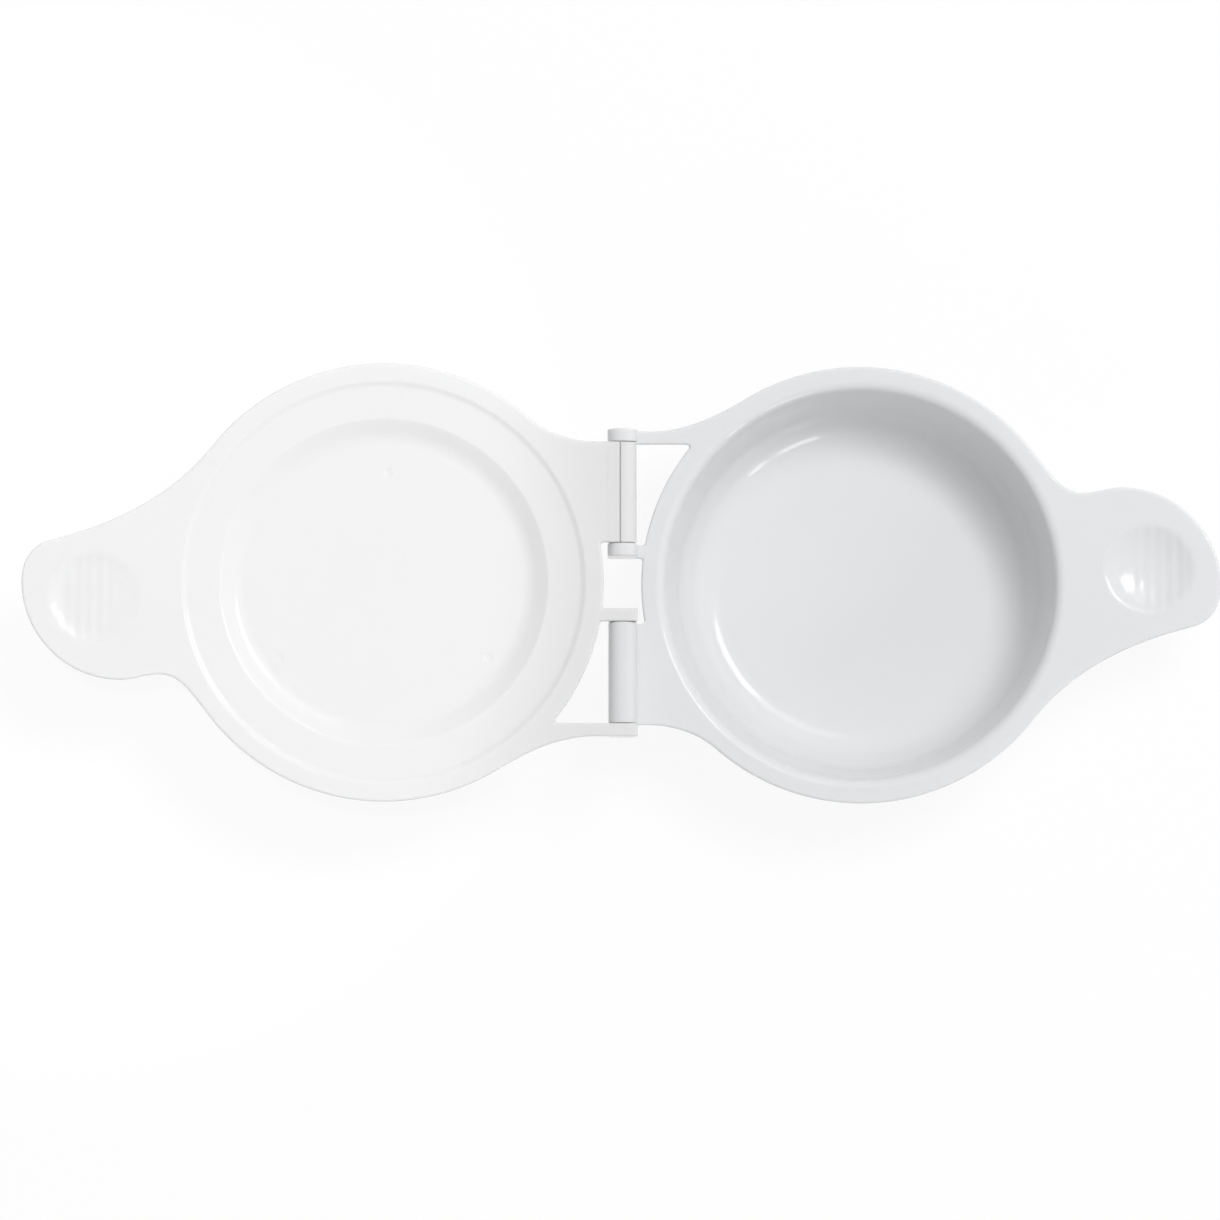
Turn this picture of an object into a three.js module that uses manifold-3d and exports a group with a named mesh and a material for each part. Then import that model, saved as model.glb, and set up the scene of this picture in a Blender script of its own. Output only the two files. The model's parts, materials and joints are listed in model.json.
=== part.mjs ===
// A hinged microwave egg cooker, open flat: a deep base cup and a shallow lid cup, each one moulding.
// Millimetres, +Z up. The hinge axis runs along Y above the origin, the base is on +X and the lid on -X.
// The origin is on the table that the base stands on, under the middle of the hinge.

import * as THREE from "three";
import { mergeVertices } from "three/addons/utils/BufferGeometryUtils.js";
import Module from "manifold-3d";

// Rim and wall
const RIM_RADIUS = 52.5;
const HINGE_TO_CUP = 57;
const WALL = 2.1;
const RIM_GAP_CLOSED = 0.4;

// Base cup section. The flange is the flat part of the rim.
const BASE_DEPTH = 23.5;
const BASE_FLANGE = 3.3;
const BASE_DRAFT_DEG = 14;
const BASE_EDGE_ROUND = 2.6;
const BASE_FLOOR_ROUND = 12;

// Lid cup section: a low step to a ledge, then a slope down to the floor
const LID_DEPTH = 2.9;
const LID_FLANGE = 4;
const LID_STEP_DEPTH = 0.5;
const LID_STEP_RUN = 1.1;
const LID_LEDGE = 7.9;
const LID_LEDGE_FALL = 0.4;
const LID_SLOPE_RUN = 4.4;
const LID_EDGE_ROUND = 1.2;
const LID_STEP_ROUND = 2;
const LID_LEDGE_ROUND = 1.2;
const LID_FLOOR_ROUND = 8;
const LEAST_ROUND = 0.25;

// Handle, in plan, from the middle of its cup: root on the rim, neck, crest, tip and lower corner
const HANDLE_REACH = 86.5;
const HANDLE_ROOT_DEG = 38;
const HANDLE_NECK_X = 53.5;
const HANDLE_NECK_Y = 22.1;
const HANDLE_CREST_X = 63;
const HANDLE_CREST_Y = 23.4;
const HANDLE_CORNER_BACK = 7.2;
const HANDLE_CORNER_Y = 10.2;
const HANDLE_TAPER_DEG = 14;

// How far each end of a handle curve runs along its own heading, as a share of the curve's span
const LOWER_ROOT_PULL = 0.44;
const TAPER_PULL = 0.33;
const CORNER_PULL = 0.62;
const TIP_LOWER_PULL = 0.57;
const TIP_UPPER_PULL = 0.5;
const CREST_PULL = 0.58;
const NECK_PULL = 0.4;
const UPPER_NECK_PULL = 0.53;
const UPPER_ROOT_PULL = 0.74;

// Thumb dimple in the handle's top face, with low ribs, set towards the tip, and a swell underneath.
// The base's is a round hollow. The lid's has a floor that slopes gently down from the cup side to the tip.
const DIMPLE_FROM_TIP = 17.2;
const DIMPLE_Y = 3.8;
const DIMPLE_RADIUS = 10.6;
const DIMPLE_DEPTH = 2.2;
const LID_RAMP_DEG = 3.5;
const RIB_COUNT = 6;
const RIB_PITCH = 2.62;
const RIB_OFFSET = 1.6;
const RIB_WIDTH = 1.3;
const RIB_HEIGHT = 0.16;

// Hinge: a fork with a moulded pin on one side of the middle and a clip on the other. The axis lies above the
// base's rim and below the open lid's, so that the rims meet when the lid is closed.
const HINGE_RISE = 3.8;
const PIN_RADIUS = 2.3;
const PIN_CLEARANCE = 0.3;
const CLIP_WALL = 0.8;
const CLIP_SLOT = 0.8;
const CLIP_SLOT_LEAN_DEG = 10;
const CLIP_LENGTH = 23.8;
const CLIP_SIDE_GAP = 0.3;
const LUG_WIDTH = 3.1;
const LUG_RADIUS = 3.6;
const HINGE_MIDDLE_GAP = 12.6;
const FORK_ROOT_DEG = 121.4;
const CLIP_ROOT_DEG = 229;
const ARM_STRAIGHT = 6.4;
const WEB_STRAIGHT = 5.6;
const ROOT_PULL = 0.35;

// Fineness of the facets
const LATHE_SEGMENTS = 60;
const ARC_STEP_DEG = 20;
const OUTLINE_SEGMENTS = 8;
const PIN_SEGMENTS = 16;
const CAP_SEGMENTS = 28;
const CAP_STEPS = 4;

// Places that follow from the sizes above
const RIM_HEIGHT = BASE_DEPTH + WALL;
const BASE_AXIS_Z = HINGE_RISE;
const LID_AXIS_Z = RIM_GAP_CLOSED - HINGE_RISE;
const BORE_RADIUS = PIN_RADIUS + PIN_CLEARANCE;
const CLIP_RADIUS = BORE_RADIUS + CLIP_WALL;
const INNER_LUG_Y = HINGE_MIDDLE_GAP / 2;
const CLIP_Y = INNER_LUG_Y + LUG_WIDTH + CLIP_SIDE_GAP;
const OUTER_LUG_Y = CLIP_Y + CLIP_LENGTH + CLIP_SIDE_GAP;
const DIMPLE_X = HINGE_TO_CUP + HANDLE_REACH - DIMPLE_FROM_TIP;
const CUT_MARGIN = 1;
const MERGE_DISTANCE = 1e-4;

const wasm = await Module();
wasm.setup();

// Turns a closed three.js geometry into a solid that can be joined and cut.
function solid(geometry) {
  geometry.deleteAttribute("normal");
  geometry.deleteAttribute("uv");
  const merged = mergeVertices(geometry, MERGE_DISTANCE);
  const triVerts = [];
  const index = merged.index.array;
  for (let i = 0; i < index.length; i += 3) {
    const [a, b, c] = [index[i], index[i + 1], index[i + 2]];
    if (a !== b && b !== c && c !== a) triVerts.push(a, b, c);
  }
  return new wasm.Manifold(
    new wasm.Mesh({
      numProp: 3,
      vertProperties: new Float32Array(merged.attributes.position.array),
      triVerts: new Uint32Array(triVerts),
    }),
  );
}

function geometryOf(body) {
  const mesh = body.getMesh();
  const geometry = new THREE.BufferGeometry();
  geometry.setAttribute("position", new THREE.BufferAttribute(mesh.vertProperties, 3));
  geometry.setIndex(new THREE.BufferAttribute(mesh.triVerts, 1));
  geometry.computeVertexNormals();
  return geometry;
}

const rad = THREE.MathUtils.degToRad;
const point = (x, y) => new THREE.Vector2(x, y);

// A turned solid about +Z from a profile of (radius, height) points that starts and ends on the axis.
function turned(profile, segments) {
  return new THREE.LatheGeometry(profile, segments).rotateX(Math.PI / 2);
}

// Rounds the inner corners of a path of { at, round } points into arcs.
function roundedPath(corners) {
  const path = [corners[0].at];
  for (let i = 1; i < corners.length - 1; i += 1) {
    const { at, round } = corners[i];
    const before = corners[i - 1].at.clone().sub(at).normalize();
    const after = corners[i + 1].at.clone().sub(at).normalize();
    const half = Math.acos(THREE.MathUtils.clamp(before.dot(after), -1, 1)) / 2;
    const middle = before.clone().add(after).normalize();
    const centre = at.clone().addScaledVector(middle, round / Math.sin(half));
    const first = at.clone().addScaledVector(before, round / Math.tan(half)).sub(centre);
    const last = at.clone().addScaledVector(after, round / Math.tan(half)).sub(centre);
    const sweep = Math.atan2(first.cross(last), first.dot(last));
    const steps = Math.max(2, Math.ceil(Math.abs(sweep) / rad(ARC_STEP_DEG)));
    for (let k = 0; k <= steps; k += 1) {
      path.push(first.clone().rotateAround(point(0, 0), (sweep * k) / steps).add(centre));
    }
  }
  path.push(corners.at(-1).at);
  return path;
}

// Moves a section's corners by one wall thickness to the outside, keeping its rounds concentric.
function outsideOf(corners) {
  const shifted = [];
  for (let i = 0; i < corners.length - 1; i += 1) {
    const along = corners[i + 1].at.clone().sub(corners[i].at).normalize();
    const outward = point(-along.y, along.x).multiplyScalar(WALL);
    shifted.push({ at: corners[i].at.clone().add(outward), along });
  }
  const moved = [{ at: shifted[0].at }];
  for (let i = 1; i < shifted.length; i += 1) {
    const from = shifted[i - 1];
    const to = shifted[i];
    const turn = from.along.cross(to.along);
    const reach = to.at.clone().sub(from.at).cross(to.along) / turn;
    const at = from.at.clone().addScaledVector(from.along, reach);
    const round = Math.max(corners[i].round - Math.sign(turn) * WALL, LEAST_ROUND);
    moved.push({ at, round });
  }
  const end = corners.at(-1).at;
  moved.push({ at: point(end.x, end.y - WALL) });
  return moved;
}

// Inner sections as corners from the rim to the axis. The height 0 is the rim's top face.
function baseSection() {
  const edge = RIM_RADIUS - BASE_FLANGE - BASE_EDGE_ROUND * Math.tan(rad(90 - BASE_DRAFT_DEG) / 2);
  const foot = edge - BASE_DEPTH * Math.tan(rad(BASE_DRAFT_DEG));
  return [
    { at: point(RIM_RADIUS, 0) },
    { at: point(edge, 0), round: BASE_EDGE_ROUND },
    { at: point(foot, -BASE_DEPTH), round: BASE_FLOOR_ROUND },
    { at: point(0, -BASE_DEPTH) },
  ];
}

function lidSection() {
  const stepSlope = Math.atan2(LID_STEP_DEPTH, LID_STEP_RUN);
  const edge = RIM_RADIUS - LID_FLANGE - LID_EDGE_ROUND * Math.tan(stepSlope / 2);
  const ledge = edge - LID_STEP_RUN;
  const brink = ledge - LID_LEDGE;
  const brinkDepth = LID_STEP_DEPTH + LID_LEDGE_FALL;
  const foot = brink - LID_SLOPE_RUN;
  return [
    { at: point(RIM_RADIUS, 0) },
    { at: point(edge, 0), round: LID_EDGE_ROUND },
    { at: point(ledge, -LID_STEP_DEPTH), round: LID_STEP_ROUND },
    { at: point(brink, -brinkDepth), round: LID_LEDGE_ROUND },
    { at: point(foot, -LID_DEPTH), round: LID_FLOOR_ROUND },
    { at: point(0, -LID_DEPTH) },
  ];
}

// The space inside a cup, reaching a little above the rim so that it cuts right through.
function cavity(section) {
  const inner = roundedPath(section).slice(1);
  const lip = inner[0];
  const profile = [point(0, CUT_MARGIN), point(lip.x, CUT_MARGIN), ...inner];
  return solid(turned(profile.reverse(), LATHE_SEGMENTS).translate(HINGE_TO_CUP, 0, 0));
}

// The outside of a cup as a full solid, reaching up into the rim plate.
function cupBlock(section) {
  const outer = roundedPath(outsideOf(section)).slice(1);
  const top = outer[0];
  const profile = [point(0, -WALL / 2), point(top.x, -WALL / 2), ...outer];
  return solid(turned(profile.reverse(), LATHE_SEGMENTS).translate(HINGE_TO_CUP, 0, 0));
}

// A place on the rim circle, in plan, and the heading along it there, anticlockwise.
function onRim(degrees) {
  const angle = rad(degrees);
  return {
    at: point(HINGE_TO_CUP + RIM_RADIUS * Math.cos(angle), RIM_RADIUS * Math.sin(angle)),
    heading: point(-Math.sin(angle), Math.cos(angle)),
  };
}

const rimAngleAtY = (y) => Math.PI - Math.asin(y / RIM_RADIUS);

// Adds a curve to an outline from one place and heading to another, with the pull of each end.
function curveTo(outline, from, fromHeading, fromPull, to, toHeading, toPull) {
  const a = from.clone().addScaledVector(fromHeading, fromPull);
  const b = to.clone().addScaledVector(toHeading, -toPull);
  outline.bezierCurveTo(a.x, a.y, b.x, b.y, to.x, to.y);
}

// The handle's edge from its lower root on the rim, round the tip, to its upper root.
function addHandle(outline) {
  const lower = onRim(-HANDLE_ROOT_DEG);
  const upper = onRim(HANDLE_ROOT_DEG);
  const tip = point(HINGE_TO_CUP + HANDLE_REACH, 0);
  const corner = point(tip.x - HANDLE_CORNER_BACK, -HANDLE_CORNER_Y);
  const crest = point(HINGE_TO_CUP + HANDLE_CREST_X, HANDLE_CREST_Y);
  const neck = point(HINGE_TO_CUP + HANDLE_NECK_X, HANDLE_NECK_Y);
  const taper = point(Math.cos(rad(HANDLE_TAPER_DEG)), Math.sin(rad(HANDLE_TAPER_DEG)));
  const up = point(0, 1);
  const back = point(-1, 0);
  const rootSpan = corner.x - lower.at.x;
  const lobeSpan = tip.x - crest.x;
  const neckSpan = crest.x - neck.x;
  curveTo(outline, lower.at, lower.heading, rootSpan * LOWER_ROOT_PULL, corner, taper, rootSpan * TAPER_PULL);
  curveTo(
    outline, corner, taper, HANDLE_CORNER_BACK * CORNER_PULL, tip, up, HANDLE_CORNER_Y * TIP_LOWER_PULL,
  );
  curveTo(outline, tip, up, HANDLE_CREST_Y * TIP_UPPER_PULL, crest, back, lobeSpan * CREST_PULL);
  curveTo(outline, crest, back, neckSpan * NECK_PULL, neck, back, neckSpan * NECK_PULL);
  curveTo(
    outline, neck, back, neckSpan * UPPER_NECK_PULL, upper.at, upper.heading, neckSpan * UPPER_ROOT_PULL,
  );
}

// The flat plate of one half in plan: rim, handle, fork arms and clip web, anticlockwise.
function plateOutline() {
  const outline = new THREE.Shape();
  const forkRoot = onRim(FORK_ROOT_DEG);
  const clipRoot = onRim(CLIP_ROOT_DEG);
  const armEdge = OUTER_LUG_Y + LUG_WIDTH;
  const clipEdge = -(CLIP_Y + CLIP_LENGTH);
  const armBend = point(ARM_STRAIGHT, armEdge);
  const webBend = point(WEB_STRAIGHT, clipEdge);
  const out = point(1, 0);
  const back = point(-1, 0);
  const start = onRim(HANDLE_ROOT_DEG).at;
  outline.moveTo(start.x, start.y);
  outline.absarc(HINGE_TO_CUP, 0, RIM_RADIUS, rad(HANDLE_ROOT_DEG), rad(FORK_ROOT_DEG), false);
  const armSpan = forkRoot.at.distanceTo(armBend);
  curveTo(outline, forkRoot.at, forkRoot.heading, armSpan * ROOT_PULL, armBend, back, armSpan * ROOT_PULL);
  outline.lineTo(0, armEdge);
  outline.lineTo(0, OUTER_LUG_Y);
  outline.absarc(
    HINGE_TO_CUP, 0, RIM_RADIUS, rimAngleAtY(OUTER_LUG_Y), rimAngleAtY(INNER_LUG_Y + LUG_WIDTH), false,
  );
  outline.lineTo(0, INNER_LUG_Y + LUG_WIDTH);
  outline.lineTo(0, INNER_LUG_Y);
  outline.absarc(HINGE_TO_CUP, 0, RIM_RADIUS, rimAngleAtY(INNER_LUG_Y), rimAngleAtY(-CLIP_Y), false);
  outline.lineTo(BORE_RADIUS, -CLIP_Y);
  outline.lineTo(BORE_RADIUS, clipEdge);
  outline.lineTo(webBend.x, webBend.y);
  const webSpan = clipRoot.at.distanceTo(webBend);
  curveTo(outline, webBend, out, webSpan * ROOT_PULL, clipRoot.at, clipRoot.heading, webSpan * ROOT_PULL);
  outline.absarc(HINGE_TO_CUP, 0, RIM_RADIUS, rad(CLIP_ROOT_DEG), rad(360 - HANDLE_ROOT_DEG), false);
  addHandle(outline);
  return outline;
}

function plate() {
  const options = { depth: WALL, bevelEnabled: false, curveSegments: OUTLINE_SEGMENTS };
  return solid(new THREE.ExtrudeGeometry(plateOutline(), options).translate(0, 0, -WALL));
}

// A round bar on the hinge axis between two places along it.
function axisBar(radius, fromY, toY, axisZ) {
  const bar = new THREE.CylinderGeometry(radius, radius, toY - fromY, PIN_SEGMENTS);
  return solid(bar.translate(0, (fromY + toY) / 2, axisZ));
}

// A block that joins the plate to what lies on the hinge axis.
function upright(fromX, toX, fromY, toY, axisZ) {
  const low = Math.min(-WALL, axisZ);
  const high = Math.max(0, axisZ);
  const block = new THREE.BoxGeometry(toX - fromX, toY - fromY, high - low);
  return solid(block.translate((fromX + toX) / 2, (fromY + toY) / 2, (low + high) / 2));
}

// Two lugs and the pin moulded between them.
function fork(axisZ) {
  let body = axisBar(PIN_RADIUS, INNER_LUG_Y + LUG_WIDTH / 2, OUTER_LUG_Y + LUG_WIDTH / 2, axisZ);
  for (const fromY of [INNER_LUG_Y, OUTER_LUG_Y]) {
    const toY = fromY + LUG_WIDTH;
    const lug = axisBar(LUG_RADIUS, fromY, toY, axisZ);
    body = body.add(lug).add(upright(-LUG_RADIUS, LUG_RADIUS, fromY, toY, axisZ));
  }
  return body;
}

// An open C round the other half's pin. Its slot faces up or down, with a slight lean.
function clip(axisZ, slotFacesUp) {
  const fromY = -CLIP_Y - CLIP_LENGTH;
  const bar = axisBar(CLIP_RADIUS, fromY, -CLIP_Y, axisZ).add(upright(0, CLIP_RADIUS, fromY, -CLIP_Y, axisZ));
  const bore = axisBar(BORE_RADIUS, fromY - CUT_MARGIN, -CLIP_Y + CUT_MARGIN, axisZ);
  const reach = CLIP_RADIUS + CUT_MARGIN;
  const slot = new THREE.BoxGeometry(CLIP_SLOT, CLIP_LENGTH + 2 * CUT_MARGIN, reach);
  slot.translate(0, 0, reach / 2).rotateY(rad(CLIP_SLOT_LEAN_DEG + (slotFacesUp ? 0 : 180)));
  slot.translate(0, fromY + CLIP_LENGTH / 2, axisZ);
  return bar.subtract(bore).subtract(solid(slot));
}

// A shallow round cap below a height, in the place of the dimple.
function cap(depth, topZ, overshoot) {
  const ball = (DIMPLE_RADIUS * DIMPLE_RADIUS + depth * depth) / (2 * depth);
  const reach = Math.asin(DIMPLE_RADIUS / ball);
  const profile = [];
  for (let k = 0; k <= CAP_STEPS; k += 1) {
    const angle = (reach * k) / CAP_STEPS;
    profile.push(point(ball * Math.sin(angle), topZ - depth + ball * (1 - Math.cos(angle))));
  }
  profile.push(point(DIMPLE_RADIUS, topZ + overshoot), point(0, topZ + overshoot));
  return solid(turned(profile, CAP_SEGMENTS).translate(DIMPLE_X, DIMPLE_Y, 0));
}

// Everything under a floor that slopes down towards the tip from the cup side of the dimple.
function underRamp(rampDeg, edgeZ) {
  const size = DIMPLE_RADIUS * 4;
  const block = new THREE.BoxGeometry(size, size, size).translate(0, 0, -size / 2).rotateY(rad(rampDeg));
  return solid(block.translate(DIMPLE_X - DIMPLE_RADIUS, DIMPLE_Y, edgeZ));
}

// The hollow of a dimple of some depth, with its flat floor if it has a ramp.
function hollow(depth, rampDeg, topZ, overshoot) {
  const round = cap(depth, topZ, overshoot);
  const edgeZ = topZ + DIMPLE_DEPTH - depth;
  return rampDeg > 0 ? round.subtract(underRamp(rampDeg, edgeZ)) : round;
}

// The dimple's cutter, which leaves the ribs standing on the dimple's floor.
function dimple(rampDeg) {
  const ribTops = hollow(DIMPLE_DEPTH - RIB_HEIGHT, rampDeg, 0, CUT_MARGIN);
  let ribs = null;
  for (let k = 0; k < RIB_COUNT; k += 1) {
    const x = DIMPLE_X + RIB_OFFSET + (k - (RIB_COUNT - 1) / 2) * RIB_PITCH;
    const blade = new THREE.BoxGeometry(RIB_WIDTH, DIMPLE_RADIUS * 2, (DIMPLE_DEPTH + CUT_MARGIN) * 2);
    const rib = solid(blade.translate(x, DIMPLE_Y, 0)).subtract(ribTops);
    ribs = ribs ? ribs.add(rib) : rib;
  }
  return hollow(DIMPLE_DEPTH, rampDeg, 0, CUT_MARGIN).subtract(ribs);
}

// One half as a single moulding, with its hinge axis on Y and its cup on +X.
function half(section, axisZ, slotFacesUp, rampDeg) {
  const swell = hollow(DIMPLE_DEPTH, rampDeg, -WALL, WALL / 2);
  const hinge = fork(axisZ).add(clip(axisZ, slotFacesUp));
  const body = plate().add(cupBlock(section)).add(swell).add(hinge);
  return geometryOf(body.subtract(cavity(section)).subtract(dimple(rampDeg)));
}

function moulding(name, geometry, colour) {
  const material = new THREE.MeshStandardMaterial({ color: colour, roughness: 0.35, metalness: 0 });
  const mesh = new THREE.Mesh(geometry, material);
  mesh.name = name;
  return mesh;
}

const cooker = new THREE.Group();

const base = moulding("base_cup", half(baseSection(), BASE_AXIS_Z, false, 0), 0xe4e5e7);
base.position.z = RIM_HEIGHT;
cooker.add(base);

const lid = moulding("lid_cup", half(lidSection(), LID_AXIS_Z, true, LID_RAMP_DEG), 0xf1f1f1);
lid.position.z = RIM_HEIGHT + BASE_AXIS_Z - LID_AXIS_Z;
lid.rotation.z = Math.PI;
cooker.add(lid);

export default cooker;
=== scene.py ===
import json
import math
import bpy
import numpy as np
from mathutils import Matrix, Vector


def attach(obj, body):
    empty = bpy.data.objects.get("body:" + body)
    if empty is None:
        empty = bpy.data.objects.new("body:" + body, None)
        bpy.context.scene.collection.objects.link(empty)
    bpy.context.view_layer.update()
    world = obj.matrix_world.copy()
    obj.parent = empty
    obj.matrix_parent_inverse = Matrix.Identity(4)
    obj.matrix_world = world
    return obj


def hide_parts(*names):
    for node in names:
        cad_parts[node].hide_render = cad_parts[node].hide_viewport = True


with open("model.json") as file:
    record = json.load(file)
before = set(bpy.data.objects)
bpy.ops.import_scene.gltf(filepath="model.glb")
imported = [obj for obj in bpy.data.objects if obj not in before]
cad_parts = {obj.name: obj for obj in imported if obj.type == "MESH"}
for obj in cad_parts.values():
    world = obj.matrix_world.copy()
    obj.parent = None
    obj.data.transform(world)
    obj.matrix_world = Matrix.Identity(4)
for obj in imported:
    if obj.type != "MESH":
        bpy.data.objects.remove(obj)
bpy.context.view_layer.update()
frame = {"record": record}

# Millimetres, in the frame of one half: the hinge axis along Y at x = 0, the cup on +X, and z = 0 on the
# rim's top face. The lid is the same half turned by 180 degrees about Z, with its own cup and clip slot.
MM = 0.001
RIM_RADIUS = 52.5
HINGE_TO_CUP = 57.0
WALL = 2.1
PLATE_ROUND = 0.4

# The hinge axis lies above the base's rim and below the open lid's, so that the rims meet when closed.
AXIS_HEIGHT = frame["record"]["behaviour"]["joints"][0]["pos_m"][2] / MM
HINGE_RISE = 3.8
RIM_GAP_CLOSED = 0.4
BASE_AXIS_Z = HINGE_RISE
LID_AXIS_Z = RIM_GAP_CLOSED - HINGE_RISE

# Base cup section
BASE_DEPTH = 23.5
BASE_FLANGE = 3.3
BASE_DRAFT = math.radians(14.0)
BASE_EDGE_ROUND = 2.6
BASE_FLOOR_ROUND = 12.0

# Lid cup section
LID_DEPTH = 2.9
LID_FLANGE = 4.0
LID_STEP_DEPTH = 0.5
LID_STEP_RUN = 1.1
LID_LEDGE = 7.9
LID_LEDGE_FALL = 0.4
LID_SLOPE_RUN = 4.4
LID_EDGE_ROUND = 1.2
LID_STEP_ROUND = 2.0
LID_LEDGE_ROUND = 1.2
LID_FLOOR_ROUND = 8.0

# Where the flat plate of rim, handle and hinge takes over from the turned cup
PLATE_FROM = 50.4
CUP_TO = 51.2

# Handle in plan, from the middle of its cup
HANDLE_REACH = 86.5
HANDLE_ROOT = math.radians(38.0)
HANDLE_NECK = (53.5, 22.1)
HANDLE_CREST = (63.0, 23.4)
HANDLE_CORNER_BACK = 7.2
HANDLE_CORNER_Y = 10.2
HANDLE_TAPER = math.radians(14.0)

# How far each end of a handle curve runs along its own heading, as a share of the curve's span
LOWER_ROOT_PULL = 0.44
TAPER_PULL = 0.33
CORNER_PULL = 0.62
TIP_LOWER_PULL = 0.57
TIP_UPPER_PULL = 0.5
CREST_PULL = 0.58
NECK_PULL = 0.4
UPPER_NECK_PULL = 0.53
UPPER_ROOT_PULL = 0.74
CURVE_STEPS = 14

# Thumb dimple and its ribs, which fade in from the cup side. The lid's dimple has a sloping floor.
DIMPLE_X = HINGE_TO_CUP + HANDLE_REACH - 17.2
DIMPLE_Y = 3.8
DIMPLE_RADIUS = 10.6
DIMPLE_DEPTH = 2.2
DIMPLE_BLEND = 0.4
LID_RAMP = math.radians(3.5)
RAMP_BLEND = 0.6
SWELL_BLEND = 1.0
RIB_COUNT = 6
RIB_PITCH = 2.62
RIB_OFFSET = 1.6
RIB_WIDTH = 1.3
RIB_HEIGHT = 0.06
RIB_FADE_FROM = -6.0
RIB_FADE_RUN = 3.0

# Shallow round marks that the ejector pins left on the lid's floor, from the middle of the cup
LID_MARKS = [(-0.9, -26.5), (25.2, 18.0), (-25.0, 17.8)]
MARK_RADIUS = 1.2
MARK_DEPTH = 0.13
MARK_BLEND = 0.02
MARK_BAND = 2.0

# Hinge
PIN_RADIUS = 2.5
PIN_CLEARANCE = 0.1
CLIP_WALL = 0.8
BORE_RADIUS = PIN_RADIUS + PIN_CLEARANCE
CLIP_RADIUS = BORE_RADIUS + CLIP_WALL
SLOT_UP = 1
SLOT_DOWN = -1
CLIP_SLOT = 0.13
CLIP_SLOT_LEAN = math.radians(10.0)
CLIP_LENGTH = 24.2
CLIP_SIDE_GAP = 0.1
LUG_WIDTH = 3.1
LUG_RADIUS = 3.6
INNER_LUG_Y = 6.3
CLIP_Y = INNER_LUG_Y + LUG_WIDTH + CLIP_SIDE_GAP
OUTER_LUG_Y = CLIP_Y + CLIP_LENGTH + CLIP_SIDE_GAP
FORK_ROOT = math.radians(121.4)
CLIP_ROOT = math.radians(229.0)
ARM_STRAIGHT = 6.4
WEB_STRAIGHT = 5.6
ROOT_PULL = 0.35
CORNER_FILLET = 0.7
FILLET_STEPS = 4
BAR_SQUARENESS = 2.2
BAR_BLEND = 0.05
LUG_ROUND = 0.3
PIN_BLEND = 0.4
CLIP_ROUND = 0.2
BORE_BLEND = 0.1
SLOT_BLEND = 0.1
STRIP_TO = 7.0

# Mesh: the spacing of the grid that the surface is taken from, and the bands where it is finer
COARSE = 0.5
FINE = 0.3
FINEST = 0.05
HINGE_BAND = (-5.0, 7.0)
END_BAND = 0.8
SLOT_BAND = 0.3
DIMPLE_BAND = 13.0
BELOW_RIM_BAND = 4.5
GRID_MARGIN = 1.0

# How the mesh's points are moved onto the surface
NORMAL_STEP = 0.02
SETTLE_ROUNDS = 3
MOST_MOVE = 0.4
LEAST_STEEPNESS = 0.25


def smooth_union(a, b, blend):
    """The nearer of two distances, with the crease between them blended."""
    share = np.clip(0.5 + 0.5 * (b - a) / blend, 0.0, 1.0)
    return b + (a - b) * share - blend * share * (1.0 - share)


def smooth_cut(a, b, blend):
    """The first shape less the second, with the edge between them blended."""
    return -smooth_union(-a, b, blend)


def rounded_meet(a, b, radius):
    """Where two distances meet, with the edge between them rounded."""
    u = a + radius
    v = b + radius
    outside = np.hypot(np.maximum(u, 0.0), np.maximum(v, 0.0))
    return outside + np.minimum(np.maximum(u, v), 0.0) - radius


def base_section():
    """Corners (radius, height, round) of the inside of the base cup, from the rim to the axis."""
    edge = RIM_RADIUS - BASE_FLANGE - BASE_EDGE_ROUND * math.tan((math.pi / 2 - BASE_DRAFT) / 2)
    foot = edge - BASE_DEPTH * math.tan(BASE_DRAFT)
    return [
        (CUP_TO, 0.0, 0.0),
        (edge, 0.0, BASE_EDGE_ROUND),
        (foot, -BASE_DEPTH, BASE_FLOOR_ROUND),
        (0.0, -BASE_DEPTH, 0.0),
    ]


def lid_section():
    """The same corners for the lid cup, which has a step and a ledge."""
    slope = math.atan2(LID_STEP_DEPTH, LID_STEP_RUN)
    edge = RIM_RADIUS - LID_FLANGE - LID_EDGE_ROUND * math.tan(slope / 2)
    ledge = edge - LID_STEP_RUN
    brink = ledge - LID_LEDGE
    return [
        (CUP_TO, 0.0, 0.0),
        (edge, 0.0, LID_EDGE_ROUND),
        (ledge, -LID_STEP_DEPTH, LID_STEP_ROUND),
        (brink, -LID_STEP_DEPTH - LID_LEDGE_FALL, LID_LEDGE_ROUND),
        (brink - LID_SLOPE_RUN, -LID_DEPTH, LID_FLOOR_ROUND),
        (0.0, -LID_DEPTH, 0.0),
    ]


def cross(a, b):
    return a[0] * b[1] - a[1] * b[0]


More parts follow.
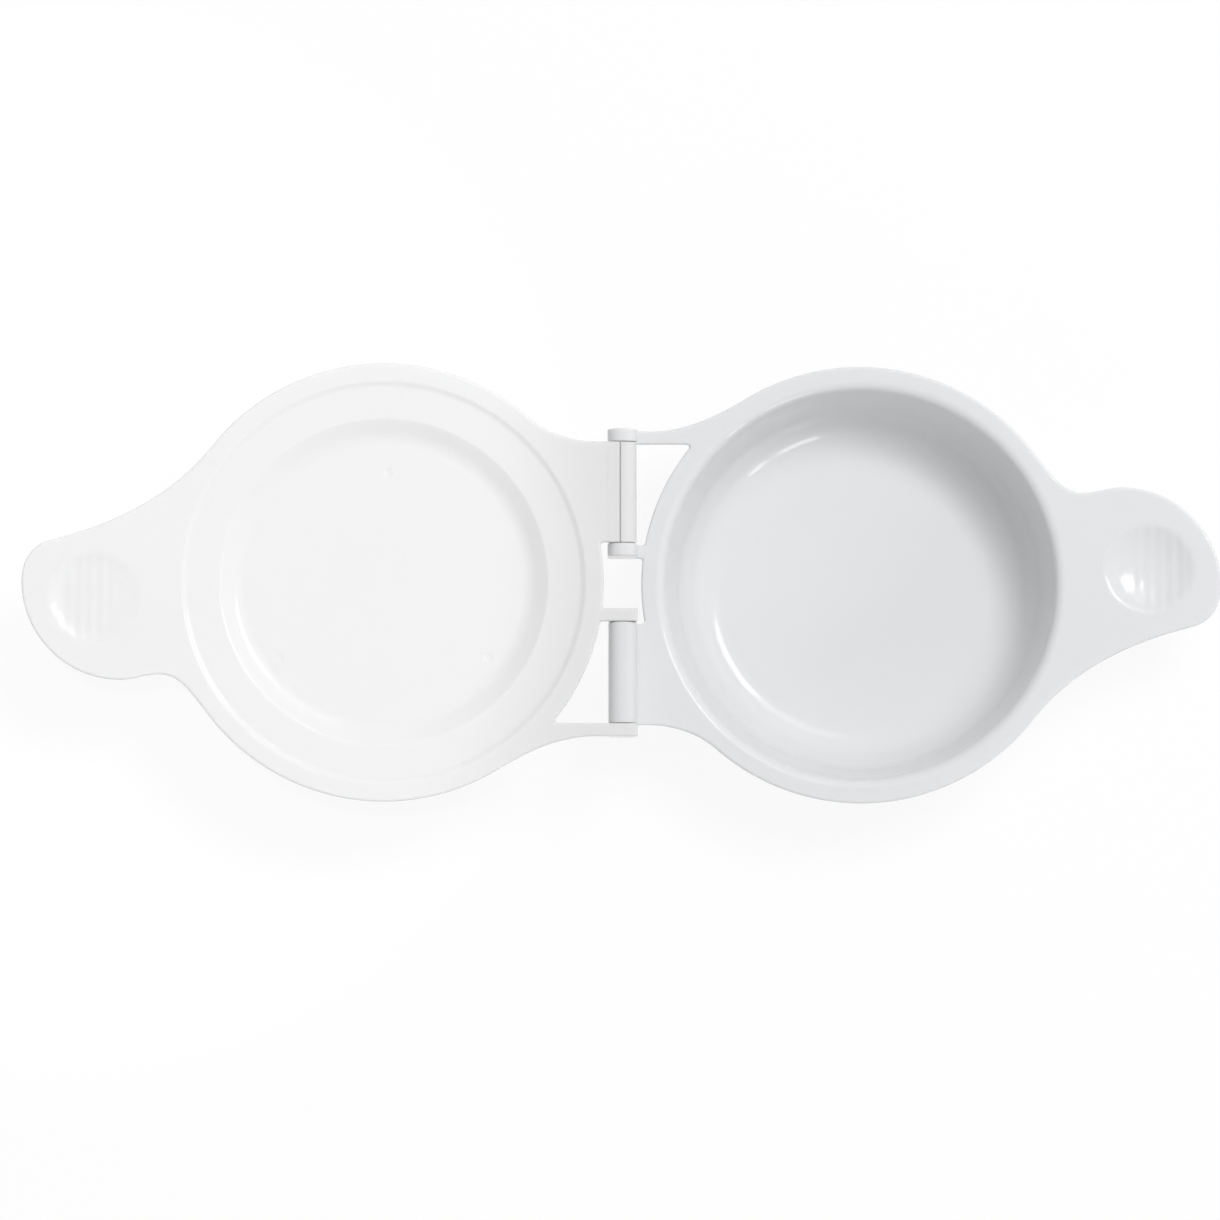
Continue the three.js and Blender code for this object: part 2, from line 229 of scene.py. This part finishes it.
def middle_of_wall(section):
    """The lines and arcs that run half a wall below a section's corners."""
    corners = [np.array(corner[:2]) for corner in section]
    headings = []
    for here, there in zip(corners, corners[1:]):
        headings.append((there - here) / np.linalg.norm(there - here))
    shifts = [np.array((-h[1], h[0])) * WALL / 2 for h in headings]
    lines = []
    arcs = []
    start = corners[0] + shifts[0]
    for i in range(1, len(corners) - 1):
        before, after = headings[i - 1], headings[i]
        turn = cross(before, after)
        from_here = corners[i] + shifts[i - 1]
        reach = cross(corners[i] + shifts[i] - from_here, after) / turn
        meet = from_here + before * reach
        radius = section[i][2] - math.copysign(WALL / 2, turn)
        tangent = radius * math.tan(math.asin(abs(turn)) / 2)
        first = meet - before * tangent
        last = meet + after * tangent
        centre = first + np.array((-before[1], before[0])) * math.copysign(radius, turn)
        lines.append((start, first))
        arcs.append((centre, first - centre, last - centre))
        start = last
    lines.append((start, corners[-1] + shifts[-1]))
    return lines, arcs


def cup_wall(path, r, z):
    """Signed distance to the turned wall of a cup."""
    lines, arcs = path
    nearest = np.inf
    for a, b in lines:
        run = b - a
        t = np.clip(((r - a[0]) * run[0] + (z - a[1]) * run[1]) / (run @ run), 0.0, 1.0)
        nearest = np.minimum(nearest, np.hypot(r - a[0] - t * run[0], z - a[1] - t * run[1]))
    for centre, first, last in arcs:
        dr = r - centre[0]
        dz = z - centre[1]
        way = math.copysign(1.0, cross(first, last))
        within = (way * (first[0] * dz - first[1] * dr) >= 0) & (way * (dr * last[1] - dz * last[0]) >= 0)
        off = np.abs(np.hypot(dr, dz) - np.hypot(*first))
        nearest = np.where(within, np.minimum(nearest, off), nearest)
    return nearest - WALL / 2


def polygon_distance(points, x, y):
    """Signed distance in plan to a closed outline."""
    nearest = np.inf
    inside = False
    ax, ay = points[-1]
    for bx, by in points:
        ex = bx - ax
        ey = by - ay
        wx = x - ax
        wy = y - ay
        t = np.clip((wx * ex + wy * ey) / (ex * ex + ey * ey), 0.0, 1.0)
        nearest = np.minimum(nearest, (wx - ex * t) ** 2 + (wy - ey * t) ** 2)
        if ey:
            crosses = ((ay > y) != (by > y)) & (x < ex * wy / ey + ax)
            inside = inside ^ crosses
        ax, ay = bx, by
    return np.where(inside, -1.0, 1.0) * np.sqrt(nearest)


def curve(start, start_heading, start_pull, end, end_heading, end_pull):
    """Points of a cubic curve after its start, up to its end."""
    start = np.array(start)
    end = np.array(end)
    a = start + np.array(start_heading) * start_pull
    b = end - np.array(end_heading) * end_pull
    points = []
    for k in range(1, CURVE_STEPS + 1):
        t = k / CURVE_STEPS
        s = 1 - t
        points.append(tuple(s**3 * start + 3 * s * s * t * a + 3 * s * t * t * b + t**3 * end))
    return points


def on_rim(angle, radius=RIM_RADIUS):
    """The place in plan at an angle round the cup."""
    return HINGE_TO_CUP + radius * math.cos(angle), radius * math.sin(angle)


def along_rim(angle):
    """The heading of the rim at an angle round the cup."""
    return -math.sin(angle), math.cos(angle)


def corner_fillet(edge_y, side):
    """The small round where a straight edge of the hinge runs into the rim, from the edge to the rim."""
    centre_y = edge_y + side * CORNER_FILLET
    centre_x = HINGE_TO_CUP - math.sqrt((RIM_RADIUS + CORNER_FILLET) ** 2 - centre_y**2)
    first = -side * math.pi / 2
    last = math.atan2(-centre_y, HINGE_TO_CUP - centre_x)
    points = []
    for k in range(FILLET_STEPS + 1):
        angle = first + (last - first) * k / FILLET_STEPS
        across = CORNER_FILLET * math.cos(angle)
        along = CORNER_FILLET * math.sin(angle)
        points.append((centre_x + across, centre_y + along))
    return points


def handle_outline():
    """The handle, from its lower root on the rim, round its tip, to its upper root."""
    up = (0.0, 1.0)
    back = (-1.0, 0.0)
    taper = (math.cos(HANDLE_TAPER), math.sin(HANDLE_TAPER))
    lower = on_rim(-HANDLE_ROOT)
    upper = on_rim(HANDLE_ROOT)
    tip = (HINGE_TO_CUP + HANDLE_REACH, 0.0)
    corner = (tip[0] - HANDLE_CORNER_BACK, -HANDLE_CORNER_Y)
    crest = (HINGE_TO_CUP + HANDLE_CREST[0], HANDLE_CREST[1])
    neck = (HINGE_TO_CUP + HANDLE_NECK[0], HANDLE_NECK[1])
    root_span = corner[0] - lower[0]
    lobe_span = tip[0] - crest[0]
    neck_span = crest[0] - neck[0]
    points = [on_rim(HANDLE_ROOT, CUP_TO - WALL), on_rim(-HANDLE_ROOT, CUP_TO - WALL), lower]
    points += curve(
        lower, along_rim(-HANDLE_ROOT), root_span * LOWER_ROOT_PULL, corner, taper, root_span * TAPER_PULL
    )
    points += curve(
        corner, taper, HANDLE_CORNER_BACK * CORNER_PULL, tip, up, HANDLE_CORNER_Y * TIP_LOWER_PULL
    )
    points += curve(tip, up, HANDLE_CREST[1] * TIP_UPPER_PULL, crest, back, lobe_span * CREST_PULL)
    points += curve(crest, back, neck_span * NECK_PULL, neck, back, neck_span * NECK_PULL)
    points += curve(
        neck, back, neck_span * UPPER_NECK_PULL, upper, along_rim(HANDLE_ROOT), neck_span * UPPER_ROOT_PULL
    )
    return points


def arm_outline():
    """The outer arm of the fork, from its root on the rim to the hinge axis and back."""
    root = on_rim(FORK_ROOT)
    bend = (ARM_STRAIGHT, OUTER_LUG_Y + LUG_WIDTH)
    pull = math.dist(root, bend) * ROOT_PULL
    points = [on_rim(FORK_ROOT, CUP_TO - WALL), root]
    points += curve(root, along_rim(FORK_ROOT), pull, bend, (-1.0, 0.0), pull)
    points += [(0.0, bend[1]), (0.0, OUTER_LUG_Y)]
    return points + corner_fillet(OUTER_LUG_Y, -1)


def inner_lug_outline():
    """The short arm of the fork, from the rim to the hinge axis and back."""
    below = corner_fillet(INNER_LUG_Y, -1)
    above = corner_fillet(INNER_LUG_Y + LUG_WIDTH, 1)
    ends = [(0.0, INNER_LUG_Y + LUG_WIDTH), (0.0, INNER_LUG_Y)]
    return above[::-1] + ends + below


def web_outline():
    """The web that carries the clip, from the clip to its root on the rim and back."""
    root = on_rim(CLIP_ROOT)
    edge_y = -(CLIP_Y + CLIP_LENGTH)
    bend = (WEB_STRAIGHT, edge_y)
    pull = math.dist(root, bend) * ROOT_PULL
    points = [(BORE_RADIUS, -CLIP_Y), (BORE_RADIUS, edge_y), bend]
    points += curve(bend, (1.0, 0.0), pull, root, along_rim(CLIP_ROOT), pull)
    points += [on_rim(CLIP_ROOT, CUP_TO - WALL)]
    return points + corner_fillet(-CLIP_Y, 1)[::-1]


OUTLINES = [handle_outline(), arm_outline(), inner_lug_outline(), web_outline()]


def plate(x, y, z, cup_r):
    """Rim, handle, fork arms and clip web as one flat plate with rounded edges."""
    plan = cup_r - RIM_RADIUS
    for points in OUTLINES:
        plan = np.minimum(plan, polygon_distance(points, x, y))
    side = np.maximum(plan, PLATE_FROM - cup_r)
    return rounded_meet(side, np.abs(z + WALL / 2) - WALL / 2, PLATE_ROUND)


def bar_section(x, z, axis_z, radius, from_x):
    """Section of a lug or clip: a squarish round on the axis, an upright to the plate, and some plate.

    On the half whose axis lies below its plate, the round is cut flush with the plate's top."""
    low = min(-WALL, axis_z)
    high = max(0.0, axis_z)
    powers = np.abs(x) ** BAR_SQUARENESS + np.abs(z - axis_z) ** BAR_SQUARENESS
    bar = powers ** (1 / BAR_SQUARENESS) - radius
    if axis_z < 0.0:
        bar = np.maximum(bar, z)
    across = np.abs(x - (from_x + radius) / 2) - (radius - from_x) / 2
    upright = np.maximum(across, np.abs(z - (low + high) / 2) - (high - low) / 2)
    strip = np.maximum(np.abs(z + WALL / 2) - WALL / 2, np.maximum(-x, x - STRIP_TO))
    return smooth_union(smooth_union(bar, upright, BAR_BLEND), strip, BAR_BLEND)


def hinge_bar(section, low_y, high_y, edge_round, y):
    """A section in x and z, run along the hinge axis between two places."""
    along = np.abs(y - (low_y + high_y) / 2) - (high_y - low_y) / 2
    return rounded_meet(section, along, edge_round)


def with_fork(body, x, y, z, axis_z):
    """Adds the two lugs and the pin between them."""
    lug = bar_section(x, z, axis_z, LUG_RADIUS, -LUG_RADIUS)
    for low in (INNER_LUG_Y, OUTER_LUG_Y):
        body = np.minimum(body, hinge_bar(lug, low, low + LUG_WIDTH, LUG_ROUND, y))
    middle = LUG_WIDTH / 2
    from_axis = np.hypot(x, z - axis_z)
    pin = hinge_bar(from_axis - PIN_RADIUS, INNER_LUG_Y + middle, OUTER_LUG_Y + middle, LUG_ROUND, y)
    return smooth_union(body, pin, PIN_BLEND)


def with_clip(body, x, y, z, axis_z, slot_faces):
    """Adds the open C. Its slot faces up or down, with a slight lean."""
    bar = bar_section(x, z, axis_z, CLIP_RADIUS, 0.0)
    body = np.minimum(body, hinge_bar(bar, -CLIP_Y - CLIP_LENGTH, -CLIP_Y, CLIP_ROUND, y))
    height = z - axis_z
    off_slot = x * math.cos(CLIP_SLOT_LEAN) - height * math.sin(CLIP_SLOT_LEAN)
    up_slot = slot_faces * (x * math.sin(CLIP_SLOT_LEAN) + height * math.cos(CLIP_SLOT_LEAN))
    slot = np.maximum(np.abs(off_slot) - CLIP_SLOT / 2, -up_slot)
    along = np.abs(y + CLIP_Y + CLIP_LENGTH / 2) - CLIP_LENGTH / 2 - CLIP_SIDE_GAP
    body = smooth_cut(body, np.maximum(slot, along), SLOT_BLEND)
    return smooth_cut(body, np.maximum(np.hypot(x, height) - BORE_RADIUS, along), BORE_BLEND)


def with_dimple(body, x, y, z, ramp):
    """Adds the swell under the handle, and sinks the ribbed dimple into it."""
    ball = (DIMPLE_RADIUS**2 + DIMPLE_DEPTH**2) / (2 * DIMPLE_DEPTH)
    plan = np.hypot(x - DIMPLE_X, y - DIMPLE_Y)
    hollow = np.hypot(plan, z + DIMPLE_DEPTH - ball) - ball
    if ramp:
        above_floor = (x - DIMPLE_X + DIMPLE_RADIUS) * math.sin(ramp) + z * math.cos(ramp)
        hollow = smooth_cut(hollow, above_floor, RAMP_BLEND)
    swell = np.maximum(hollow - WALL, z + WALL / 2)
    body = smooth_union(body, swell, SWELL_BLEND)
    first = DIMPLE_X + RIB_OFFSET - (RIB_COUNT - 1) / 2 * RIB_PITCH
    nearest = np.clip(np.round((x - first) / RIB_PITCH), 0, RIB_COUNT - 1)
    off = np.abs(x - first - nearest * RIB_PITCH) / RIB_WIDTH
    fade = np.clip((x - DIMPLE_X - RIB_FADE_FROM) / RIB_FADE_RUN, 0.0, 1.0)
    rib = RIB_HEIGHT * fade * (0.5 + 0.5 * np.cos(np.pi * np.minimum(off, 1.0)))
    return smooth_cut(body, hollow + rib, DIMPLE_BLEND)


def with_marks(body, x, y, z, floor_z, marks):
    """Sinks a shallow dish into the cup's floor at each mark."""
    ball = (MARK_RADIUS**2 + MARK_DEPTH**2) / (2 * MARK_DEPTH)
    for mark_x, mark_y in marks:
        plan = np.hypot(x - HINGE_TO_CUP - mark_x, y - mark_y)
        hollow = np.hypot(plan, z - floor_z + MARK_DEPTH - ball) - ball
        body = smooth_cut(body, np.maximum(hollow, plan - MARK_BAND), MARK_BLEND)
    return body


def half_field(section, axis_z, slot_faces, ramp, marks):
    """The signed distance to one half's surface, as a function of x, y and z."""
    path = middle_of_wall(section)

    def field(x, y, z):
        cup_r = np.hypot(x - HINGE_TO_CUP, y)
        body = np.minimum(cup_wall(path, cup_r, z), plate(x, y, z, cup_r))
        body = with_fork(body, x, y, z, axis_z)
        body = with_clip(body, x, y, z, axis_z, slot_faces)
        body = with_dimple(body, x, y, z, ramp)
        return with_marks(body, x, y, z, section[-1][1], marks)

    return field


def graded(low, high, bands):
    """Places from low to high, closer together inside the bands, which are (from, to, spacing)."""
    places = [low]
    while places[-1] < high:
        spacings = [spacing for a, b, spacing in bands if a <= places[-1] < b]
        places.append(places[-1] + min(spacings, default=COARSE))
    return np.array(places)


def crossing_points(values, axes):
    """One vertex for each grid cell that the surface crosses: the mean of the crossings on its edges."""
    inside = values < 0
    count = np.zeros([n - 1 for n in values.shape], np.int8)
    corners = [(i, j, k) for i in (0, 1) for j in (0, 1) for k in (0, 1)]
    for i, j, k in corners:
        count += inside[
            i:values.shape[0] - 1 + i, j:values.shape[1] - 1 + j, k:values.shape[2] - 1 + k
        ]
    cells = np.argwhere((count > 0) & (count < 8))
    total = np.zeros((len(cells), 3))
    hits = np.zeros(len(cells))
    for corner in corners:
        for axis in range(3):
            if corner[axis]:
                continue
            a = cells + corner
            b = a.copy()
            b[:, axis] += 1
            va = values[a[:, 0], a[:, 1], a[:, 2]]
            vb = values[b[:, 0], b[:, 1], b[:, 2]]
            hit = (va < 0) != (vb < 0)
            t = np.where(hit, va / np.where(hit, va - vb, 1.0), 0.0)
            for n in range(3):
                pa = axes[n][a[:, n]]
                pb = axes[n][b[:, n]]
                total[:, n] += np.where(hit, pa + (pb - pa) * t, 0.0)
            hits += hit
    number = np.full(count.shape, -1)
    number[cells[:, 0], cells[:, 1], cells[:, 2]] = np.arange(len(cells))
    return total / hits[:, None], number


def net_faces(values, number):
    """One face for each grid edge that the surface crosses, round the four cells beside the edge."""
    inside = values < 0
    faces = []
    for axis in range(3):
        b = (axis + 1) % 3
        c = (axis + 2) % 3
        low = np.take(inside, range(values.shape[axis] - 1), axis)
        high = np.take(inside, range(1, values.shape[axis]), axis)
        edges = np.argwhere(low != high)
        ring = []
        for back_b, back_c in ((1, 1), (0, 1), (0, 0), (1, 0)):
            cell = edges.copy()
            cell[:, b] -= back_b
            cell[:, c] -= back_c
            ring.append(number[cell[:, 0], cell[:, 1], cell[:, 2]])
        quads = np.stack(ring, axis=1)
        outward = low[edges[:, 0], edges[:, 1], edges[:, 2]]
        faces.append(np.where(outward[:, None], quads, quads[:, ::-1]))
    return np.concatenate(faces)


def gradient(field, points):
    """The slope of the field at each point."""
    slope = np.empty_like(points)
    for axis in range(3):
        step = np.zeros(3)
        step[axis] = NORMAL_STEP
        slope[:, axis] = field(*(points + step).T) - field(*(points - step).T)
    return slope / (2 * NORMAL_STEP)


def settle(field, points):
    """Moves points along the slope of the field until they lie on its surface."""
    for _ in range(SETTLE_ROUNDS):
        slope = gradient(field, points)
        steepness = np.maximum((slope**2).sum(axis=1), LEAST_STEEPNESS)
        move = np.clip(field(*points.T) / steepness, -MOST_MOVE, MOST_MOVE)
        points = points - slope * move[:, None]
    normals = gradient(field, points)
    return points, normals / np.linalg.norm(normals, axis=1)[:, None]


def grid_axes(section, axis_z, slot_faces, marks):
    """The places along x, y and z of the grid round one half."""
    lowest = min(section[-1][1] - WALL, axis_z - LUG_RADIUS) - GRID_MARGIN
    highest = max(0.0, axis_z + LUG_RADIUS) + GRID_MARGIN
    slot_x = slot_faces * (BORE_RADIUS + CLIP_RADIUS) / 2 * math.tan(CLIP_SLOT_LEAN)
    x_bands = [
        (*HINGE_BAND, FINE),
        (slot_x - SLOT_BAND, slot_x + SLOT_BAND, FINEST),
        (DIMPLE_X - DIMPLE_BAND, DIMPLE_X + DIMPLE_BAND, FINE),
    ]
    y_bands = []
    clip_ends = [-CLIP_Y - CLIP_LENGTH, -CLIP_Y]
    lug_ends = [INNER_LUG_Y, CLIP_Y, OUTER_LUG_Y, OUTER_LUG_Y + LUG_WIDTH]
    for end in clip_ends + lug_ends:
        y_bands.append((end - END_BAND, end + END_BAND, FINE))
    for mark_x, mark_y in marks:
        x_bands.append((HINGE_TO_CUP + mark_x - MARK_BAND, HINGE_TO_CUP + mark_x + MARK_BAND, FINE))
        y_bands.append((mark_y - MARK_BAND, mark_y + MARK_BAND, FINE))
    z_bands = [(min(-BELOW_RIM_BAND, axis_z - LUG_RADIUS - GRID_MARGIN), highest, FINE)]
    return [
        graded(HINGE_BAND[0], HINGE_TO_CUP + HANDLE_REACH + GRID_MARGIN, x_bands),
        graded(-RIM_RADIUS - GRID_MARGIN, RIM_RADIUS + GRID_MARGIN, y_bands),
        graded(lowest, highest, z_bands),
    ]


def moulding(name, node, body, section, axis_z, slot_faces, ramp, marks, turned, material):
    """One half as a single fine mesh, in place of its CAD node."""
    field = half_field(section, axis_z, slot_faces, ramp, marks)
    axes = grid_axes(section, axis_z, slot_faces, marks)
    values = field(axes[0][:, None, None], axes[1][None, :, None], axes[2][None, None, :])
    points, number = crossing_points(values, axes)
    faces = net_faces(values, number)
    points, normals = settle(field, points)
    if turned:
        points[:, :2] *= -1
        normals[:, :2] *= -1
    points[:, 2] += AXIS_HEIGHT - axis_z
    mesh = bpy.data.meshes.new(name)
    mesh.from_pydata((points * MM).tolist(), [], faces.tolist())
    mesh.polygons.foreach_set("use_smooth", [True] * len(mesh.polygons))
    mesh.normals_split_custom_set_from_vertices(normals.tolist())
    mesh.materials.append(material)
    piece = bpy.data.objects.new(name, mesh)
    bpy.context.collection.objects.link(piece)
    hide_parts(node)
    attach(piece, body)


# Plastic: its colours, how light scatters in it, and its clouds, gloss and orange peel, in metres
BASE_COLOUR = (0.727, 0.732, 0.741)
# The lid's colour is a little lighter than the base's, though both halves are one plastic: this difference
# is painted light.
LID_COLOUR = (0.738, 0.738, 0.743)
SCATTER = 0.4
SCATTER_DEPTH = 0.002
CLOUD_SIZE = 0.03
CLOUD_DETAIL = 4.0
CLOUD_SPAN = 0.012
GLOSS_SIZE = 0.008
GLOSS_DETAIL = 5.0
GLOSS_RANGE = (0.085, 0.125)
PEEL_SIZE = 0.0016
PEEL_DETAIL = 2.0
PEEL_HEIGHT = 0.0000025


def noise(nodes, links, place, size, detail):
    """The value of a noise texture with features of about the given size."""
    texture = nodes.new("ShaderNodeTexNoise")
    texture.inputs["Scale"].default_value = 1.0 / size
    texture.inputs["Detail"].default_value = detail
    links.new(place, texture.inputs["Vector"])
    return texture.outputs["Fac"]


def plastic(name, colour):
    """Glossy moulded plastic: faint clouds in its colour, uneven gloss and a fine orange-peel surface."""
    material = bpy.data.materials.new(name)
    material.use_nodes = True
    nodes = material.node_tree.nodes
    links = material.node_tree.links
    shader = nodes["Principled BSDF"]
    shader.inputs["Subsurface Weight"].default_value = SCATTER
    shader.inputs["Subsurface Radius"].default_value = (1.0, 1.0, 1.0)
    shader.inputs["Subsurface Scale"].default_value = SCATTER_DEPTH
    place = nodes.new("ShaderNodeTexCoord").outputs["Object"]

    clouds = nodes.new("ShaderNodeValToRGB")
    for stop, share in zip(clouds.color_ramp.elements, (1.0 - CLOUD_SPAN, 1.0 + CLOUD_SPAN)):
        stop.color = (*[channel * share for channel in colour], 1.0)
    links.new(noise(nodes, links, place, CLOUD_SIZE, CLOUD_DETAIL), clouds.inputs["Fac"])
    links.new(clouds.outputs["Color"], shader.inputs["Base Color"])

    gloss = nodes.new("ShaderNodeMapRange")
    gloss.inputs["To Min"].default_value = GLOSS_RANGE[0]
    gloss.inputs["To Max"].default_value = GLOSS_RANGE[1]
    links.new(noise(nodes, links, place, GLOSS_SIZE, GLOSS_DETAIL), gloss.inputs["Value"])
    links.new(gloss.outputs["Result"], shader.inputs["Roughness"])

    peel = nodes.new("ShaderNodeBump")
    peel.inputs["Distance"].default_value = PEEL_HEIGHT
    links.new(noise(nodes, links, place, PEEL_SIZE, PEEL_DETAIL), peel.inputs["Height"])
    links.new(peel.outputs["Normal"], shader.inputs["Normal"])
    return material


# Camera, in metres: nearly straight down, from the open cooker's near side, with a long lens
SENSOR_MM = 36.0
VIEW_LIMIT = 10.0
VIEW_TILT = math.radians(5.0)
VIEW_DISTANCE = 1.8
FRAME_WIDTH = 0.2914
AIM = Vector((-0.0030, -0.0066, 0.0307))


def make_camera():
    data = bpy.data.cameras.new("camera")
    data.sensor_width = SENSOR_MM
    data.sensor_fit = "HORIZONTAL"
    data.lens = SENSOR_MM * VIEW_DISTANCE / FRAME_WIDTH
    data.clip_end = VIEW_LIMIT
    camera = bpy.data.objects.new("camera", data)
    bpy.context.collection.objects.link(camera)
    back = Vector((0.0, -math.sin(VIEW_TILT), math.cos(VIEW_TILT)))
    camera.location = AIM + back * VIEW_DISTANCE
    camera.rotation_euler = back.to_track_quat("Z", "Y").to_euler()
    bpy.context.scene.camera = camera


# Lamps that face the origin from one distance: name, azimuth and elevation in degrees, width and height in
# metres, power in watts, and whether reflections show the lamp
LAMP_DISTANCE = 2.4
LAMPS = [
    ("key", 46.0, 60.0, 0.9, 0.9, 28.0, False),
    ("window", 34.0, 56.0, 0.66, 0.5, 6.0, True),
    ("veil", 62.0, 56.0, 0.8, 0.6, 2.0, True),
    ("pane_a", 297.0, 25.0, 0.6, 0.4, 3.6, True),
    ("pane_b", 315.0, 25.0, 0.28, 0.4, 1.7, True),
]

# A spot above the tip of the lid's handle, and the round pool of light that it throws
SPOT_PLACE = (-0.14, 0.012, 1.6)
SPOT_REACH = 0.142
SPOT_SOFTNESS = 0.4
SPOT_LAMP_RADIUS = 0.005
SPOT_POWER = 20.0

# The even light from all round, and the floor: its size, drop below the base, grey and share of white
WORLD_STRENGTH = 0.47
FLOOR_SIZE = 6.0
FLOOR_DROP = 0.0005
FLOOR_GREY = 0.9
FLOOR_WHITE_SHARE = 0.9


def area_light(name, azimuth, elevation, width, height, power, mirrored):
    """A rectangular lamp that faces the origin."""
    data = bpy.data.lights.new(name, "AREA")
    data.shape = "RECTANGLE"
    data.size = width
    data.size_y = height
    data.energy = power
    lamp = bpy.data.objects.new(name, data)
    bpy.context.collection.objects.link(lamp)
    a = math.radians(azimuth)
    e = math.radians(elevation)
    way = Vector((math.cos(e) * math.cos(a), math.cos(e) * math.sin(a), math.sin(e)))
    lamp.location = way * LAMP_DISTANCE
    lamp.rotation_euler = way.to_track_quat("Z", "Y").to_euler()
    lamp.visible_glossy = mirrored


def lid_fill():
    """A weak lamp that lights the lid more than the base, with a soft edge towards the hinge."""
    data = bpy.data.lights.new("lid_fill", "SPOT")
    data.spot_size = 2 * math.atan(SPOT_REACH / SPOT_PLACE[2])
    data.spot_blend = SPOT_SOFTNESS
    data.shadow_soft_size = SPOT_LAMP_RADIUS
    data.energy = SPOT_POWER
    lamp = bpy.data.objects.new("lid_fill", data)
    bpy.context.collection.objects.link(lamp)
    lamp.location = SPOT_PLACE
    lamp.visible_glossy = False


def seen_ray(nodes, links):
    """One for a ray that shows the background: from the camera, mirrored or let through. Else nought."""
    path = nodes.new("ShaderNodeLightPath")
    seen = path.outputs["Is Camera Ray"]
    for name in ("Is Glossy Ray", "Is Transmission Ray"):
        add = nodes.new("ShaderNodeMath")
        add.operation = "ADD"
        add.use_clamp = True
        links.new(seen, add.inputs[0])
        links.new(path.outputs[name], add.inputs[1])
        seen = add.outputs[0]
    return seen


def make_world():
    """Even light from all round, which shows as plain white."""
    world = bpy.data.worlds.new("studio")
    bpy.context.scene.world = world
    world.use_nodes = True
    nodes = world.node_tree.nodes
    links = world.node_tree.links
    back = nodes["Background"]
    back.inputs["Color"].default_value = (1.0, 1.0, 1.0, 1.0)
    mix = nodes.new("ShaderNodeMath")
    mix.operation = "MULTIPLY_ADD"
    mix.inputs[1].default_value = 1.0 - WORLD_STRENGTH
    mix.inputs[2].default_value = WORLD_STRENGTH
    links.new(seen_ray(nodes, links), mix.inputs[0])
    links.new(mix.outputs[0], back.inputs["Strength"])


def make_floor():
    """A pale floor that shows mostly white and keeps the object's shadow."""
    bpy.ops.mesh.primitive_plane_add(size=FLOOR_SIZE, location=(0.0, 0.0, -FLOOR_DROP))
    floor = bpy.context.object
    floor.name = "floor"
    material = bpy.data.materials.new("floor")
    material.use_nodes = True
    nodes = material.node_tree.nodes
    links = material.node_tree.links
    nodes.clear()
    out = nodes.new("ShaderNodeOutputMaterial")
    diffuse = nodes.new("ShaderNodeBsdfDiffuse")
    diffuse.inputs["Color"].default_value = (FLOOR_GREY, FLOOR_GREY, FLOOR_GREY, 1.0)
    glow = nodes.new("ShaderNodeEmission")
    glow.inputs["Strength"].default_value = 1.0
    share = nodes.new("ShaderNodeMath")
    share.operation = "MULTIPLY"
    share.inputs[1].default_value = FLOOR_WHITE_SHARE
    mix = nodes.new("ShaderNodeMixShader")
    links.new(seen_ray(nodes, links), share.inputs[0])
    links.new(share.outputs[0], mix.inputs[0])
    links.new(diffuse.outputs[0], mix.inputs[1])
    links.new(glow.outputs[0], mix.inputs[2])
    links.new(mix.outputs[0], out.inputs["Surface"])
    floor.data.materials.append(material)


make_camera()
make_world()
for lamp_values in LAMPS:
    area_light(*lamp_values)
lid_fill()
make_floor()
moulding(
    name="base_moulding",
    node="base_cup",
    body="base",
    section=base_section(),
    axis_z=BASE_AXIS_Z,
    slot_faces=SLOT_DOWN,
    ramp=0.0,
    marks=[],
    turned=False,
    material=plastic("base_plastic", BASE_COLOUR),
)
moulding(
    name="lid_moulding",
    node="lid_cup",
    body="lid",
    section=lid_section(),
    axis_z=LID_AXIS_Z,
    slot_faces=SLOT_UP,
    ramp=LID_RAMP,
    marks=LID_MARKS,
    turned=True,
    material=plastic("lid_plastic", LID_COLOUR),
)
bpy.context.scene.view_settings.view_transform = "Standard"
